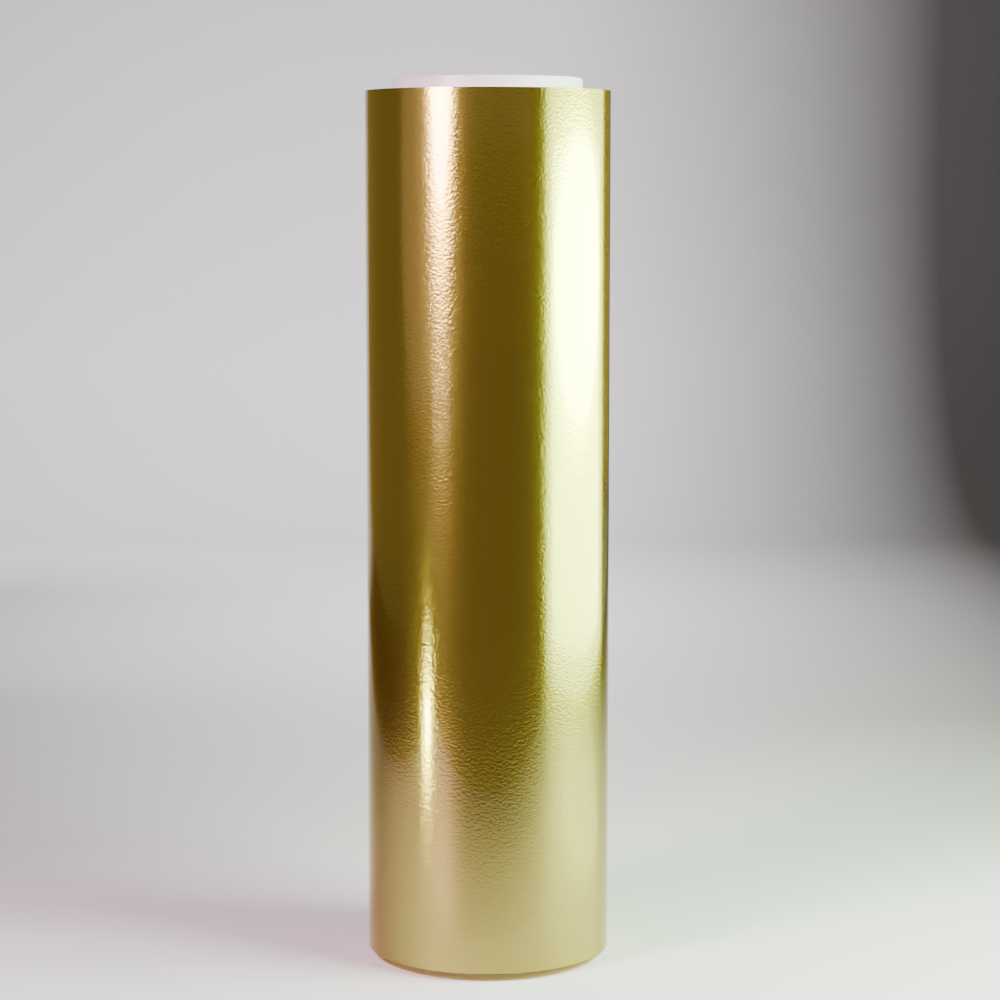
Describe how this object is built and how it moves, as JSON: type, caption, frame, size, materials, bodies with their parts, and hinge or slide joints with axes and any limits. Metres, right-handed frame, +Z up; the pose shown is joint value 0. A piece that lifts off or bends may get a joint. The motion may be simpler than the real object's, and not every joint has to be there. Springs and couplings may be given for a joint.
{
  "type": "roll of sign vinyl",
  "caption": "Roll of glossy gold sign vinyl wound face out on a white plastic core, standing on end, with a tail that lifts off the roll",
  "frame": {"origin": "centre of the core's lower end, on the surface the roll stands on", "axes": "+Z up along the roll's axis, -Y towards the front, the tail's edge at the back"},
  "size_m": [0.1077, 0.108, 0.3903],
  "materials": {
    "core_plastic": "smooth satin extruded plastic, faint pink white",
    "face_film": "glossy metallic champagne gold film with fine orange peel",
    "release_liner": "smooth honey-coloured glassine paper",
    "wound_web": "cut edges of tightly wound film and honey-coloured liner, amber",
    "start_tape": "thin double-sided tape",
    "closing_tape": "clear glossy tape"
  },
  "bodies": {
    "roll": {"core_tube": "core_plastic", "start_tape_lower": "start_tape", "start_tape_middle": "start_tape", "start_tape_upper": "start_tape", "first_turn_liner": "release_liner", "first_turn_film": "face_film", "wound_pack": "wound_web", "outer_turn_liner": "release_liner", "outer_turn_film": "face_film"},
    "tail_1": {"tail_liner_1": "release_liner", "tail_film_1": "face_film"},
    "tail_2": {"tail_liner_2": "release_liner", "tail_film_2": "face_film"},
    "tail_3": {"tail_liner_3": "release_liner", "tail_film_3": "face_film"},
    "tail_4": {"tail_liner_4": "release_liner", "tail_film_4": "face_film"},
    "tail_5": {"tail_liner_5": "release_liner", "tail_film_5": "face_film", "closing_tape_anchor": "closing_tape"},
    "closing_tab": {"closing_tape_tab": "closing_tape"}
  },
  "joints": [
    {"name": "tail_lift_1", "type": "hinge", "parent": "roll", "child": "tail_1", "pos_m": [0.03819, 0.03826, 0.1943], "axis": [0, 0, -1], "range_deg": [0, 20]},
    {"name": "tail_lift_2", "type": "hinge", "parent": "tail_1", "child": "tail_2", "pos_m": [0.027, 0.04685, 0.1943], "axis": [0, 0, -1], "range_deg": [0, 20]},
    {"name": "tail_lift_3", "type": "hinge", "parent": "tail_2", "child": "tail_3", "pos_m": [0.01396, 0.05225, 0.1943], "axis": [0, 0, -1], "range_deg": [0, 20]},
    {"name": "tail_lift_4", "type": "hinge", "parent": "tail_3", "child": "tail_4", "pos_m": [-0.00003, 0.05409, 0.1943], "axis": [0, 0, -1], "range_deg": [0, 20]},
    {"name": "tail_lift_5", "type": "hinge", "parent": "tail_4", "child": "tail_5", "pos_m": [-0.01401, 0.05225, 0.1943], "axis": [0, 0, -1], "range_deg": [0, 20]},
    {"name": "closing_tape_peel", "type": "hinge", "parent": "tail_5", "child": "closing_tab", "pos_m": [-0.02705, 0.04691, 0.1943], "axis": [0, 0, -1], "range_deg": [0, 90]}
  ],
  "couplings": [
    {"joint": "tail_lift_2", "follows": "tail_lift_1", "ratio": 1},
    {"joint": "tail_lift_3", "follows": "tail_lift_1", "ratio": 1},
    {"joint": "tail_lift_4", "follows": "tail_lift_1", "ratio": 1},
    {"joint": "tail_lift_5", "follows": "tail_lift_1", "ratio": 1}
  ]
}
